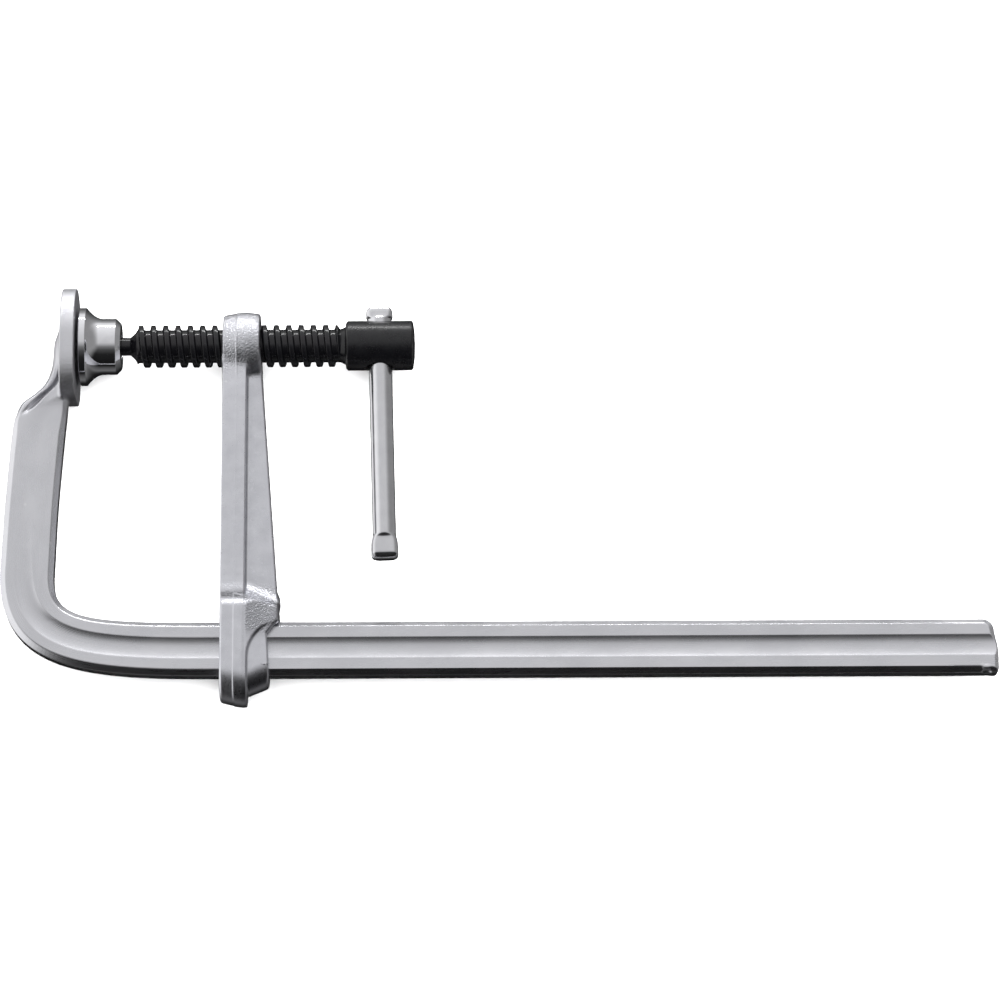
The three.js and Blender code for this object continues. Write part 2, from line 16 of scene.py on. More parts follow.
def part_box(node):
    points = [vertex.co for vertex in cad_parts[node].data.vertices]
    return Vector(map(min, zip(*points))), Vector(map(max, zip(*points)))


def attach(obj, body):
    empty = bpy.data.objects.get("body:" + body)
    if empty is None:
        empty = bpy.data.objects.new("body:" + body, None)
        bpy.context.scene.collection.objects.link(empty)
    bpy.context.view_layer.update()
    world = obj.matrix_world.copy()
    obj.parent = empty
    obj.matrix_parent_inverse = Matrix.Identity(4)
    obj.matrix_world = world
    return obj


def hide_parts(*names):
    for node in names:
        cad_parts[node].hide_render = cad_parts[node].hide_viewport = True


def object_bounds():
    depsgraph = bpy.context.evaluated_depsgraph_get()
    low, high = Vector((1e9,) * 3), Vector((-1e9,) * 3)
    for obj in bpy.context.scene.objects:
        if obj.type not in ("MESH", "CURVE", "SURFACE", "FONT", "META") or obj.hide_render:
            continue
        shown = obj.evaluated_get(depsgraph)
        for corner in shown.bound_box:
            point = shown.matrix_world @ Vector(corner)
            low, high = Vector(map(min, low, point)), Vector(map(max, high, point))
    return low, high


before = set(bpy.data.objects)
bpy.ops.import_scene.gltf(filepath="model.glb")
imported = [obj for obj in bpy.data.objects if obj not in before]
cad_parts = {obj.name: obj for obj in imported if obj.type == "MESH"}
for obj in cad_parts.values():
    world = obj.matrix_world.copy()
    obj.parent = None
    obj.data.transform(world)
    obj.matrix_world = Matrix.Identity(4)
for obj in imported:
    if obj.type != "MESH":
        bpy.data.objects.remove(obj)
CAD_BOX = [list(corner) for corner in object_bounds()]

# ---- Driving dimensions, in millimetres ----------------------------------------------------------

MM = 0.001

BAR_DROP = 127.7  # from the spindle's axis down to the bar's centre line
BAR_WIDTH = 22.0
BAR_THICKNESS = 10.5
BAR_BEVEL = 2.2
BAR_BEVEL_ROUND = 0.35
BAR_EDGE_ROUND = 0.2  # on the straight stretch, which was only drawn
BAR_END_X = 370.0
BAR_END_SLANT = 1.7  # how much further the free end reaches at its outer half than at its inner corner
BAR_END_CORNER = 4.5
BAR_END_LOW_CORNER = 1.8
GROOVE_HALF_WIDTH = 4.3
GROOVE_DEPTH = 1.0
BEND_START_X = 50.0

JAW_HALF_WIDTH = 24.1
JAW_HALF_HEIGHT = 19.4
JAW_LOW_REACH = 22.8
JAW_LOW_POWER = 3.6  # how square its lower half is, where 2 is an ellipse
JAW_RIM_THICKNESS = 5.9
JAW_BACK_CONE = 1.6

ARM_X = 59.6
FLANGE_THICKNESS = 9.9
COLLAR_HALF_HEIGHT = 12.5
COLLAR_LOW_Y = -138.4
WEB_HALF_HEIGHT = 4.4
CHEEK_HALF_HEIGHT = 9.5
CHEEK_LOW_Y = -135.6
BOSS_LENGTH = 14.9
BOSS_END_RADIUS = 12.4
BOSS_CROWN_RADIUS = 13.75
SLOT_CLEARANCE = 0.3

PITCH = 5.0
THREAD_SHIFT = 0.7  # where a crest passes the top of the screw, past a whole number of pitches
THREAD_RADIUS = 8.6
ROOT_RADIUS = 6.7
CREST_WIDTH = 1.8
FLANK_WIDTH = 0.5
THREAD_CLEARANCE = 0.35
THREAD_START_X = 24.2
THREAD_END_X = 107.2
BALL_X = 9.8
BALL_RADIUS = 4.9
NECK_RADIUS = 3.65
HEAD_X = 109.2
HEAD_LENGTH = 27.4
HEAD_RADIUS = 10.1
HEAD_DOME = 0.7

CROSS_HOLE_X = 123.0
CROSS_HOLE_RADIUS = 5.3
ROD_RADIUS = 4.75
ROD_ABOVE = 15.8
ROD_BELOW = 90.2
ROD_LEAN = math.radians(1.4)

PAD_GAP = 1.0
PAD_LENGTH = 17.0
PAD_RIM_RADIUS = 15.9
PAD_RIM_THICKNESS = 3.0
PAD_NECK_RADIUS = 11.4
PAD_MOUTH_RADIUS = 5.4
RING_X = 15.7
RING_THICKNESS = 0.7
RING_GROOVE_RADIUS = 6.3

BAR_Y = -BAR_DROP
BAR_OUTER_Y = BAR_Y - BAR_WIDTH / 2
BAR_INNER_Y = BAR_Y + BAR_WIDTH / 2
BAR_HALF = BAR_THICKNESS / 2

# ---- Placing -------------------------------------------------------------------------------------

pad_low, pad_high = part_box("pressure_pad")
pad_middle = (pad_low + pad_high) / 2
JAW_CENTRE = Vector((pad_low.x - PAD_GAP * MM, pad_middle.y, pad_middle.z))


def place(points):
    """Points in the clamp's own axes, in millimetres, as points in the frame, in metres."""
    return np.asarray(points, float) * MM + np.array(JAW_CENTRE)


def piece(name, points, faces, body, material, flow=None, normals=None):
    """A smooth shaded mesh object that rides on a body.

    flow is a vector for each point, which its material reads. normals are the surface's true normals.
    """
    mesh = bpy.data.meshes.new(name)
    mesh.from_pydata(place(points).tolist(), [], [list(face) for face in faces])
    if flow is not None:
        attribute = mesh.attributes.new("flow", "FLOAT_VECTOR", "POINT")
        attribute.data.foreach_set("vector", np.asarray(flow, np.float32).ravel())
    mesh.shade_smooth()
    if normals is not None:
        mesh.normals_split_custom_set_from_vertices(normals.tolist())
    mesh.materials.append(material)
    made = bpy.data.objects.new(name, mesh)
    bpy.context.scene.collection.objects.link(made)
    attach(made, body)
    return made


def apply_modifiers(made):
    """Makes an object's modifiers part of its mesh."""
    graph = bpy.context.evaluated_depsgraph_get()
    mesh = bpy.data.meshes.new_from_object(made.evaluated_get(graph))
    made.modifiers.clear()
    made.data = mesh


def crisp(made, degrees=35):
    """Shades edges sharper than this angle as edges, and keeps large faces flat."""
    made.data.set_sharp_from_angle(angle=math.radians(degrees))
    weighted = made.modifiers.new("flat_faces", "WEIGHTED_NORMAL")
    weighted.keep_sharp = True
    apply_modifiers(made)
    return made


# ---- Solids as distance fields -------------------------------------------------------------------


def smooth_join(a, b, radius):
    """The union of two fields with a fillet of about this radius."""
    share = np.clip(0.5 + 0.5 * (b - a) / radius, 0, 1)
    return b + (a - b) * share - radius * share * (1 - share)


def smooth_cut(a, b, radius):
    """Field a with field b taken away, and the new edge rounded."""
    return -smooth_join(-a, b, radius)


def rounded_slab(outline, height, radius):
    """A flat outline's field and a signed height past its faces made one solid with rounded edges."""
    u = outline + radius
    v = height + radius
    return np.hypot(np.maximum(u, 0), np.maximum(v, 0)) + np.minimum(np.maximum(u, v), 0) - radius


def bevelled_slab(outline, height, bevel, radius):
    """Like rounded_slab, with flat bevels whose own edges are slightly rounded."""
    slope = (outline + height + bevel) * math.sqrt(0.5)
    return -smooth_join(smooth_join(-outline, -slope, radius), -height, radius)


def line_distance(x, y, points):
    """Distance to a chain of straight stretches."""
    nearest = np.full(np.broadcast(x, y).shape, 1e9)
    for (ax, ay), (bx, by) in zip(points[:-1], points[1:]):
        ex, ey = bx - ax, by - ay
        share = np.clip(((x - ax) * ex + (y - ay) * ey) / (ex * ex + ey * ey + 1e-12), 0, 1)
        nearest = np.minimum(nearest, (x - ax - ex * share) ** 2 + (y - ay - ey * share) ** 2)
    return np.sqrt(nearest)


def outline_field(x, y, points):
    """Signed distance to a closed outline, negative inside."""
    closed = [*points, points[0]]
    inside = np.zeros(np.broadcast(x, y).shape, bool)
    for (ax, ay), (bx, by) in zip(closed[:-1], closed[1:]):
        if ay == by:
            continue
        crosses = (ay > y) != (by > y)
        inside ^= crosses & (x < (bx - ax) * (y - ay) / (by - ay) + ax)
    return np.where(inside, -1, 1) * line_distance(x, y, closed)


def skin(field, low, high, step):
    """The surface where field(x, y, z) is zero inside a box, as points and quads."""
    low, high = np.array(low, float), np.array(high, float)
    counts = np.ceil((high - low) / step).astype(int) + 1
    x, y, z = (low[i] + step * np.arange(counts[i]) for i in range(3))
    values = field(x[:, None, None], y[None, :, None], z[None, None, :])
    grid = openvdb.FloatGrid(background=step * 3)
    grid.copyFromArray(np.ascontiguousarray(np.broadcast_to(values, counts), dtype=np.float32))
    points, quads = grid.convertToQuads(isovalue=0.0)
    points = low + np.asarray(points, float) * step
    reach = step * 0.15

    def slope_at(points):
        slope = np.empty_like(points)
        for axis in range(3):
            ahead, behind = points.copy(), points.copy()
            ahead[:, axis] += reach
            behind[:, axis] -= reach
            slope[:, axis] = (field(*ahead.T) - field(*behind.T)) / (2 * reach)
        return slope

    for _ in range(2):
        slope = slope_at(points)
        length = np.maximum((slope**2).sum(1), 0.05)
        shift = -slope * (field(*points.T) / length)[:, None]
        points += np.clip(shift, -step / 2, step / 2)
    normals = slope_at(points)
    normals /= np.linalg.norm(normals, axis=1)[:, None] + 1e-9
    quads = np.asarray(quads, int)
    a, b, c, d = (points[quads[:, i]] for i in range(4))
    if (np.cross(b, c) * a).sum() + (np.cross(c, d) * a).sum() < 0:
        quads = quads[:, ::-1]
    return points, quads, normals


# ---- Skins over rings ----------------------------------------------------------------------------


def tube(rings, closed_ends=True):
    """Quads over rings of points, with a middle point and a fan at each end."""
    rings = np.asarray(rings, float)
    rows, count = rings.shape[:2]
    points = rings.reshape(-1, 3)
    index = np.arange(rows * count).reshape(rows, count)
    after = np.roll(index, -1, axis=1)
    faces = np.stack([index[:-1], after[:-1], after[1:], index[1:]], axis=-1).reshape(-1, 4).tolist()
    if closed_ends:
        points = np.vstack([points, rings[0].mean(0), rings[-1].mean(0)])
        first, last = rows * count, rows * count + 1
        faces += [[first, int(b), int(a)] for a, b in zip(index[0], after[0])]
        faces += [[last, int(a), int(b)] for a, b in zip(index[-1], after[-1])]
    return points, faces


def turned(profile, sides=128):
    """A solid turned about the X axis from (x, radius) pairs."""
    angles = 2 * math.pi * np.arange(sides) / sides
    rings = [
        np.stack([np.full(sides, x), radius * np.cos(angles), radius * np.sin(angles)], axis=1)
        for x, radius in profile
    ]
    return tube(rings)


def rounded(profile, radius, steps=5):
    """A chain of (x, radius) pairs with each inner corner replaced by a small arc."""
    out = [profile[0]]
    for before, corner, after in zip(profile[:-2], profile[1:-1], profile[2:]):
        a, c, b = (np.array(p, float) for p in (before, corner, after))
        size = min(radius, np.linalg.norm(a - c) / 2.2, np.linalg.norm(b - c) / 2.2)
        start = c + (a - c) / np.linalg.norm(a - c) * size
        end = c + (b - c) / np.linalg.norm(b - c) * size
        for i in range(steps + 1):
            t = i / steps
            out.append(tuple((1 - t) ** 2 * start + 2 * t * (1 - t) * c + t * t * end))
    out.append(profile[-1])
    return out


def bezier(points, count):
    """Points along a cubic curve."""
    a, b, c, d = (np.array(p, float) for p in points)
    t = np.linspace(0, 1, count)[:, None]
    return (1 - t) ** 3 * a + 3 * t * (1 - t) ** 2 * b + 3 * t * t * (1 - t) * c + t**3 * d


def through(points, count):
    """A smooth curve through all the points."""
    pts = np.array(points, float)
    pts = np.vstack([2 * pts[0] - pts[1], pts, 2 * pts[-1] - pts[-2]])
    out = []
    for i in range(1, len(pts) - 2):
        p0, p1, p2, p3 = pts[i - 1 : i + 3]
        for t in np.arange(count) / count:
            out.append(
                0.5
                * (
                    2 * p1
                    + (p2 - p0) * t
                    + (2 * p0 - 5 * p1 + 4 * p2 - p3) * t * t
                    + (3 * p1 - p0 - 3 * p2 + p3) * t**3
                )
            )
    out.append(pts[-2])
    return np.array(out)


# ---- Materials -----------------------------------------------------------------------------------

FORGED_FLOW = (-100.0, -84.0)  # how far along the bar's flow its drawn skin gives way to the forged jaw's


class Nodes:
    """Small helper that adds and links shader nodes of one material."""

    def __init__(self, name):
        self.material = bpy.data.materials.new(name)
        self.material.use_nodes = True
        self.tree = self.material.node_tree
        self.shader = self.tree.nodes["Principled BSDF"]

    def add(self, kind, inputs=None, **settings):
        node = self.tree.nodes.new(kind)
        for key, value in settings.items():
            setattr(node, key, value)
        for key, value in (inputs or {}).items():
            self.feed(node.inputs[key], value)
        return node

    def feed(self, socket, value):
        if isinstance(value, bpy.types.NodeSocket):
            self.tree.links.new(value, socket)
        else:
            socket.default_value = value

    def noise(self, vector, scale, detail=3.0, roughness=0.55):
        inputs = {"Vector": vector, "Scale": scale, "Detail": detail, "Roughness": roughness}
        return self.add("ShaderNodeTexNoise", inputs).outputs["Fac"]

    def span(self, value, low, high, to_low, to_high):
        inputs = {0: value, 1: low, 2: high, 3: to_low, 4: to_high}
        return self.add("ShaderNodeMapRange", inputs).outputs[0]

    def sum(self, a, b):
        return self.add("ShaderNodeMath", {0: a, 1: b}, operation="ADD").outputs[0]

    def times(self, a, b):
        return self.add("ShaderNodeMath", {0: a, 1: b}, operation="MULTIPLY").outputs[0]

    def blend(self, share, a, b):
        node = self.add("ShaderNodeMix", data_type="RGBA")
        self.feed(node.inputs[0], share)
        self.feed(node.inputs[6], a)
        self.feed(node.inputs[7], b)
        return node.outputs[2]

    def stretched(self, vector, scale):
        return self.add("ShaderNodeVectorMath", {0: vector, 1: scale}, operation="MULTIPLY").outputs[0]

    def bump(self, height, distance, strength=1.0, normal=None):
        node = self.add("ShaderNodeBump", {"Height": height, "Distance": distance, "Strength": strength})
        if normal is not None:
            self.feed(node.inputs["Normal"], normal)
        return node.outputs["Normal"]

    def finish(self, color, roughness, normal, metallic=1.0):
        self.feed(self.shader.inputs["Base Color"], color)
        self.feed(self.shader.inputs["Roughness"], roughness)
        self.feed(self.shader.inputs["Normal"], normal)
        self.shader.inputs["Metallic"].default_value = metallic
        return self.material


def object_point(nodes):
    """The point in the frame, in millimetres."""
    where = nodes.add("ShaderNodeTexCoord").outputs["Object"]
    return nodes.stretched(where, (1 / MM,) * 3)


def flow_point(nodes):
    """The point along, across and through the bar, in millimetres."""
    return nodes.add("ShaderNodeAttribute", attribute_name="flow").outputs["Vector"]


def worn_edges(nodes):
    """1 on sharp outer edges and 0 elsewhere."""
    pointed = nodes.add("ShaderNodeNewGeometry").outputs["Pointiness"]
    return nodes.span(pointed, 0.52, 0.6, 0.0, 1.0)


def drawn_steel():
    """Zinc plated drawn bar: fine lines along its length and slight clouding, with a coarser forged jaw."""
    n = Nodes("drawn_zinc_steel")
    along = flow_point(n)
    lines = n.noise(n.stretched(along, (0.015, 2.4, 2.4)), 1.0, 4.0, 0.6)
    clouds = n.noise(n.stretched(along, (0.05, 0.12, 0.12)), 1.0, 3.0)
    grain = n.noise(along, 1.8, 3.0, 0.6)
    length = n.add("ShaderNodeSeparateXYZ", {0: along}).outputs["X"]
    forged = n.span(length, *FORGED_FLOW, 1.0, 0.0)
    cloudy = n.span(clouds, 0.3, 0.7, 0.0, 1.0)
    tint = n.blend(cloudy, (0.60, 0.602, 0.628, 1), (0.68, 0.682, 0.708, 1))
    color = n.blend(n.times(worn_edges(n), 0.4), tint, (0.86, 0.86, 0.87, 1))
    roughness = n.sum(n.span(clouds, 0.3, 0.7, 0.24, 0.30), n.span(lines, 0.35, 0.65, -0.012, 0.02))
    roughness = n.sum(roughness, n.times(forged, 0.18))
    coarse = n.bump(grain, 0.00024, n.times(forged, 0.5))
    normal = n.bump(lines, 0.000006, 0.15, n.bump(grain, 0.000006, 0.15, coarse))
    return n.finish(color, roughness, normal)


def forged_steel():
    """Zinc plated forging with a fine blasted grain, coarser on the boss, and darker at the collar: painted
    shade on its steep step, and the forging's matt scale on the collar below it.
    """
    n = Nodes("forged_zinc_steel")
    here = object_point(n)
    flow = n.add("ShaderNodeSeparateXYZ", {0: flow_point(n)}).outputs
    coarse, scale_and_shade = flow["X"], flow["Y"]
    grain = n.noise(here, 0.9, 3.0, 0.7)
    pits = n.noise(here, 1.45, 2.0, 0.6)
    waves = n.noise(here, 0.16, 2.0)
    wavy = n.span(waves, 0.3, 0.7, 0.0, 1.0)
    tint = n.blend(wavy, (0.60, 0.605, 0.64, 1), (0.68, 0.685, 0.72, 1))
    # The colour is darkened here: painted shade on the collar's step, and the forging's matt scale on the
    # collar below it.
    tint = n.blend(scale_and_shade, tint, (0.34, 0.342, 0.365, 1))
    color = n.blend(n.times(worn_edges(n), 0.5), tint, (0.86, 0.86, 0.88, 1))
    roughness = n.span(grain, 0.3, 0.7, 0.26, 0.38)
    fine = n.bump(grain, 0.00009, 0.35, n.bump(waves, 0.0002, 0.3))
    return n.finish(color, roughness, n.bump(pits, 0.0005, n.times(coarse, 0.8), fine))


def black_oxide():
    """Blackened and oiled steel."""
    n = Nodes("black_oxide_steel")
    here = object_point(n)
    rings = n.noise(n.stretched(here, (5.0, 0.2, 0.2)), 1.0, 3.0)
    clouds = n.noise(here, 0.3, 3.0)
    cloudy = n.span(clouds, 0.3, 0.7, 0.0, 1.0)
    tint = n.blend(cloudy, (0.0012, 0.0012, 0.0016, 1), (0.0022, 0.0022, 0.0026, 1))
    color = n.blend(n.times(worn_edges(n), 0.5), tint, (0.012, 0.012, 0.013, 1))
    length = n.add("ShaderNodeSeparateXYZ", {0: here}).outputs["X"]
    thread_end = THREAD_END_X + JAW_CENTRE.x / MM
    head = n.span(length, thread_end, thread_end + 2, 0.0, 0.16)
    roughness = n.sum(n.span(clouds, 0.3, 0.7, 0.10, 0.15), head)
    normal = n.bump(rings, 0.000012, 0.4)
    n.shader.inputs["IOR"].default_value = 1.45
    return n.finish(color, roughness, normal, 0.0)


def bright_plate():
    """Turned and bright plated steel with faint tool marks round it."""
    n = Nodes("bright_plated_steel")
    here = object_point(n)
    marks = n.noise(n.stretched(here, (7.0, 0.12, 0.12)), 1.0, 2.0)
    clouds = n.noise(here, 0.4, 2.0)
    tint = n.blend(clouds, (0.66, 0.66, 0.68, 1), (0.76, 0.76, 0.78, 1))
    roughness = n.span(clouds, 0.3, 0.7, 0.03, 0.06)
    normal = n.bump(marks, 0.00001, 0.4)
    return n.finish(tint, roughness, normal)


def rod_plate():
    """Plated rod with a smooth satin surface."""
    n = Nodes("plated_rod_steel")
    here = object_point(n)
    lines = n.noise(n.stretched(here, (1.6, 0.02, 1.6)), 1.0, 3.0)
    clouds = n.noise(here, 0.2, 3.0)
    tint = n.blend(clouds, (0.58, 0.58, 0.60, 1), (0.70, 0.70, 0.72, 1))
    color = n.blend(n.times(worn_edges(n), 0.4), tint, (0.85, 0.85, 0.86, 1))
    roughness = n.sum(n.span(clouds, 0.3, 0.7, 0.15, 0.21), n.span(lines, 0.3, 0.7, -0.02, 0.03))
    normal = n.bump(lines, 0.00001, 0.4)
    return n.finish(color, roughness, normal)


def pale_floor():
    """Matt white board with a hardly visible tooth."""
    n = Nodes("pale_board")
    here = object_point(n)
    tooth = n.noise(here, 1.2, 3.0)
    color = n.blend(tooth, (0.93, 0.93, 0.93, 1), (0.96, 0.96, 0.96, 1))
    return n.finish(color, 0.9, n.bump(tooth, 0.00003, 0.3), 0.0)


# ---- Bow -----------------------------------------------------------------------------------------

SEAM_X = 66.0  # the bent part and the straight bar meet inside the sliding arm's collar
END_X = 352.0  # and the straight bar meets its worked free end here
SEAM_OVERLAP = 5.0  # how far each worked end runs on over the straight bar

OUTER_EDGE = np.vstack(
    [
        [[SEAM_X + SEAM_OVERLAP, BAR_OUTER_Y]],
        bezier([(BEND_START_X, BAR_OUTER_Y), (0, -138.4), (-28.9, -133), (-29, -96)], 48),
        through([(-29, -96), (-27.6, -67), (-25.4, -37), (-23.6, -28.5)], 8)[1:],
        through(
            [
                (-23.2, -27),
                (-21.6, -24),
                (-16.9, -20.3),
                (-13.4, -16.8),
                (-11.2, -12.5),
                (-10, -7.5),
                (-9.7, -2),
            ],
            6,
        ),
        through([(-9.7, -2), (-9.2, 2.5), (-7.2, 7.6), (-5.8, 9.5)], 5)[1:],
    ]
)
INNER_EDGE = np.vstack(
    [
        [[SEAM_X + SEAM_OVERLAP, BAR_INNER_Y]],
        bezier([(BEND_START_X, BAR_INNER_Y), (0, -116.6), (-7.9, -113.5), (-7.4, -96)], 48),
        through([(-7.4, -96), (-6.3, -67), (-4.2, -37), (-3.2, -25.5), (-2.6, -18)], 8)[1:],
        [[-2.4, 9.5]],
    ]
)
BEND_CENTRE = (30.0, -85.0)
BEND_FLOW_RADIUS = 42.0
BEND_FLOW_LENGTH = 66.0  # a quarter turn at that radius
JAW_FILLET = 1.6
STAKE_FROM_END = 5.0
# The valley between the rib behind the jaw and the steel that spreads sideways into it.
VALLEY_Y = (-32.0, -28.5, -26.4, -24.4, -22.2, -20.3, -18.8, -16.3, -14.0, -11.5, -5.0, 9.0)
VALLEY_X = (-23.0, -20.0, -17.9, -16.1, -14.0, -11.8, -9.9, -8.1, -6.9, -6.2, -6.0, -5.9)
SPREAD_Y = (-38.0, -26.0, -22.0, -18.0, -14.0, -10.0, -4.0, 0.0)
SPREAD_HALF = (5.25, 5.3, 6.0, 7.5, 9.5, 12.0, 14.5, 15.5)


def soft_step(share):
    share = np.clip(share, 0, 1)
    return share * share * (3 - 2 * share)


def eased(value, places, heights, ease):
    """Linear steps between heights, with their corners eased."""
    return sum(np.interp(value + ease * k, places, heights) for k in (-1, -0.5, 0, 0.5, 1)) / 5


def groove_height(across, width_share, fade):
    """Signed height of the groove's round cutter; fade lifts it out of the steel from 0 to 1."""
    radius = (GROOVE_HALF_WIDTH**2 + GROOVE_DEPTH**2) / (2 * GROOVE_DEPTH)
    lift = GROOVE_DEPTH * fade

    def field(z):
        centre = BAR_HALF + radius - GROOVE_DEPTH + lift
        return np.hypot(across / width_share, np.abs(z) - centre) - radius

    return field


def neck_half(x, y):
    """Half the thickness of the arm and of its spread end behind the jaw."""
    aside = 0.8 * (x - eased(y, VALLEY_Y, VALLEY_X, 1.2))
    rib = BAR_HALF - 1.5 * soft_step((y + 34) / 34)
    depth = 2.6 * soft_step((y + 31) / 9)
    spread = eased(y, SPREAD_Y, SPREAD_HALF, 1.5)
    left = rib - depth * soft_step(1 + aside / 1.2)
    right = rib - depth + (spread - rib + depth) * soft_step(aside / 2.0)
    return np.where(aside < 0, left, right)


def bend_field(x, y, z):
    """The bent bar, the fixed arm and the jaw."""
    plan = outline_field(x, y, [*OUTER_EDGE, *INNER_EDGE[::-1]])
    across = (line_distance(x, y, OUTER_EDGE) - line_distance(x, y, INNER_EDGE)) / 2
    steep = 1 - 0.55 * soft_step((y + 33) / 8)
    bevel = BAR_BEVEL - 0.7 * soft_step((y + 40) / 12)
    body = bevelled_slab(plan, (np.abs(z) - neck_half(x, y)) * steep, bevel, BAR_BEVEL_ROUND)
    # The groove drifts towards the outer edge and runs out on its way up the arm.
    up = np.clip((y + 116) / 30, 0, 1) * np.clip((20 - x) / 20, 0, 1)
    fade = 0.62 * up + np.clip((y + 84) / 70, 0, 0.6)
    body = smooth_cut(body, groove_height(across + 1.8 * up, 1.0 + 0.25 * up, fade)(z), 0.12)

    reach = np.where(y < 0, JAW_LOW_REACH, JAW_HALF_WIDTH)
    power = np.where(y < 0, JAW_LOW_POWER, 2.0)
    u = np.abs(y) / reach + 1e-6
    v = np.abs(z) / JAW_HALF_HEIGHT + 1e-6
    ring = (u**power + v**power) ** (1 / power)
    slope = ring ** (1 - power) * np.hypot(u ** (power - 1) / reach, v ** (power - 1) / JAW_HALF_HEIGHT)
    oval = (ring - 1) / slope
    back = -JAW_RIM_THICKNESS - JAW_BACK_CONE * np.clip(1 - ring, 0, 1)
    middle, depth = back / 2, -back / 2
    jaw = rounded_slab(oval, np.abs(x - middle) - depth, 0.5)
    return smooth_join(body, jaw, JAW_FILLET)


def bar_end_field(x, y, z):
    """The sawn free end, with a rounded corner and a staked stop on its outer edge."""
    end = BAR_END_X - BAR_END_SLANT * soft_step((y - BAR_Y + 3.5) / 12)
    inner_half = rounded_slab(x - end, y - BAR_INNER_Y, BAR_END_CORNER)
    outer_half = rounded_slab(x - end, BAR_OUTER_Y - y, BAR_END_LOW_CORNER)
    plan = np.maximum(np.maximum(inner_half, outer_half), END_X - SEAM_OVERLAP - x)
    near_end = soft_step((x - BAR_END_X + 5) / 4)
    bevel = BAR_BEVEL - 0.6 * near_end
    body = bevelled_slab(plan, np.abs(z) - BAR_HALF, bevel, BAR_BEVEL_ROUND)
    body = smooth_cut(body, groove_height(y - BAR_Y, 1.0, 0.0)(z), 0.12)
    stake_x = BAR_END_X - STAKE_FROM_END
    burr = np.hypot(np.hypot((x - stake_x) / 1.8, y - BAR_OUTER_Y - 1.9), z - BAR_HALF + 0.75) - 1.0
    body = smooth_join(body, burr, 0.7)
    dent = np.hypot(np.hypot((x - stake_x) / 1.5, y - BAR_OUTER_Y + 0.3), z - BAR_HALF + 2.2) - 1.5
    return smooth_cut(body, dent, 0.4)


def bar_ring(x, inset):
    """Points round the bar's section at one place along it."""
    half_width = BAR_WIDTH / 2 - inset
    half = BAR_HALF - inset
    lip = 0.14
    corner = [
        (half_width, 0),
        (half_width, half - BAR_BEVEL),
        (half_width - BAR_BEVEL, half),
        (GROOVE_HALF_WIDTH + lip, half),
    ]
    out = rounded(corner, BAR_EDGE_ROUND, 4)[1:]
    radius = (GROOVE_HALF_WIDTH**2 + GROOVE_DEPTH**2) / (2 * GROOVE_DEPTH)
    for share in np.linspace(0.985, 0, 13):
        u = GROOVE_HALF_WIDTH * share
        out.append((u, half + radius - GROOVE_DEPTH - math.sqrt(radius**2 - u**2)))
    upper = out + [(-u, z) for u, z in out[-2::-1]]
    outline = upper + [(-u, -z) for u, z in upper]
    return [(x, BAR_Y - u, z) for u, z in outline]


def bend_flow(points):
    """Distance along the bar, carried on round the bend and up the arm, then across and through it."""
    x, y, z = points.T
    across = (line_distance(x, y, OUTER_EDGE) - line_distance(x, y, INNER_EDGE)) / 2
    centre_x, centre_y = BEND_CENTRE
    turn = np.clip(np.arctan2(centre_x - x, -(y - centre_y)), 0, math.pi / 2)
    along = np.where(x > centre_x, x, centre_x - BEND_FLOW_RADIUS * turn)
    along = np.where(y > centre_y, centre_x - BEND_FLOW_LENGTH - (y - centre_y), along)
    return np.stack([along, across, z], axis=1)


def straight_flow(points):
    x, y, z = points.T
    return np.stack([x, y - BAR_Y, z], axis=1)


def make_bow():
    steel = drawn_steel()
    bend_box = (-30.5, -139.6, -20.4), (SEAM_X + SEAM_OVERLAP + 1, 25, 20.4)
    points, faces, normals = skin(bend_field, *bend_box, 0.5)
    bent = piece("bow_forging", points, faces, "bow", steel, bend_flow(points), normals)

    end_box = (END_X - SEAM_OVERLAP - 1, -139.8, -7), (BAR_END_X + 1, -116, 7)
    points, faces, normals = skin(bar_end_field, *end_box, 0.35)
    end = piece("bow_bar_end", points, faces, "bow", steel, straight_flow(points), normals)

    stations = [SEAM_X - 1, SEAM_X - 0.5, 90, 130, 170, 210, 250, 290, 330, END_X - 0.5, END_X]
    points, faces = tube([bar_ring(x, 0.012) for x in stations])
    bar = piece("bow_bar", points, faces, "bow", steel, straight_flow(points))
    crisp(bar, 40)
    for made in (bent, end, bar):
        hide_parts("bow")


# ---- Sliding arm ---------------------------------------------------------------------------------

FLANGE_BACK_X = ARM_X + FLANGE_THICKNESS
PARTING_X = 65.3  # where the two dies met
# Half the flange's height down its length: it swells and dips again just above the collar.
FLANGE_STEPS = [
    (-112.0, 12.5),
    (-111.3, 12.45),
    (-109.3, 11.4),
    (-108.6, 11.3),
    (-106.8, 11.85),
    (-105.9, 12.0),
    (-105.0, 11.95),
    (-102.4, 11.4),
    (-99.5, 11.25),
    (-40.0, 11.2),
    (-24.0, 10.6),
    (-14.0, 9.8),
    (-8.0, 9.5),
    (0.0, 9.4),
]
# Half the web's height, which runs up into the boss in a hollow curve.
WEB_Y = (-60.0, -14.5, -12.6, -11.2, -9.7, -8.2, -6.5, 0.0)
WEB_HALF = (WEB_HALF_HEIGHT, WEB_HALF_HEIGHT, 5.0, 6.1, 7.8, 9.4, 10.6, 11.0)
CHEEK_Y = (-150.0, -137.0, -131.7, -122.5, -117.0, -110.0)
CHEEK_X = (78.9, 79.2, 79.0, 78.3, 82.4, 82.4)
# The hollow that the collar's back is cut away in, below the step.
HOLLOW_CENTRE = (84.0, -133.0)
HOLLOW_RADII = (13.6, 15.3)
# The step where the collar rises out of the web: where it starts at the flange, and how far it slants.
STEP_TOP_Y = -102.0
STEP_SLANT = 0.47
STEP_LENGTH = 6.9
STEP_NARROWING = 0.27


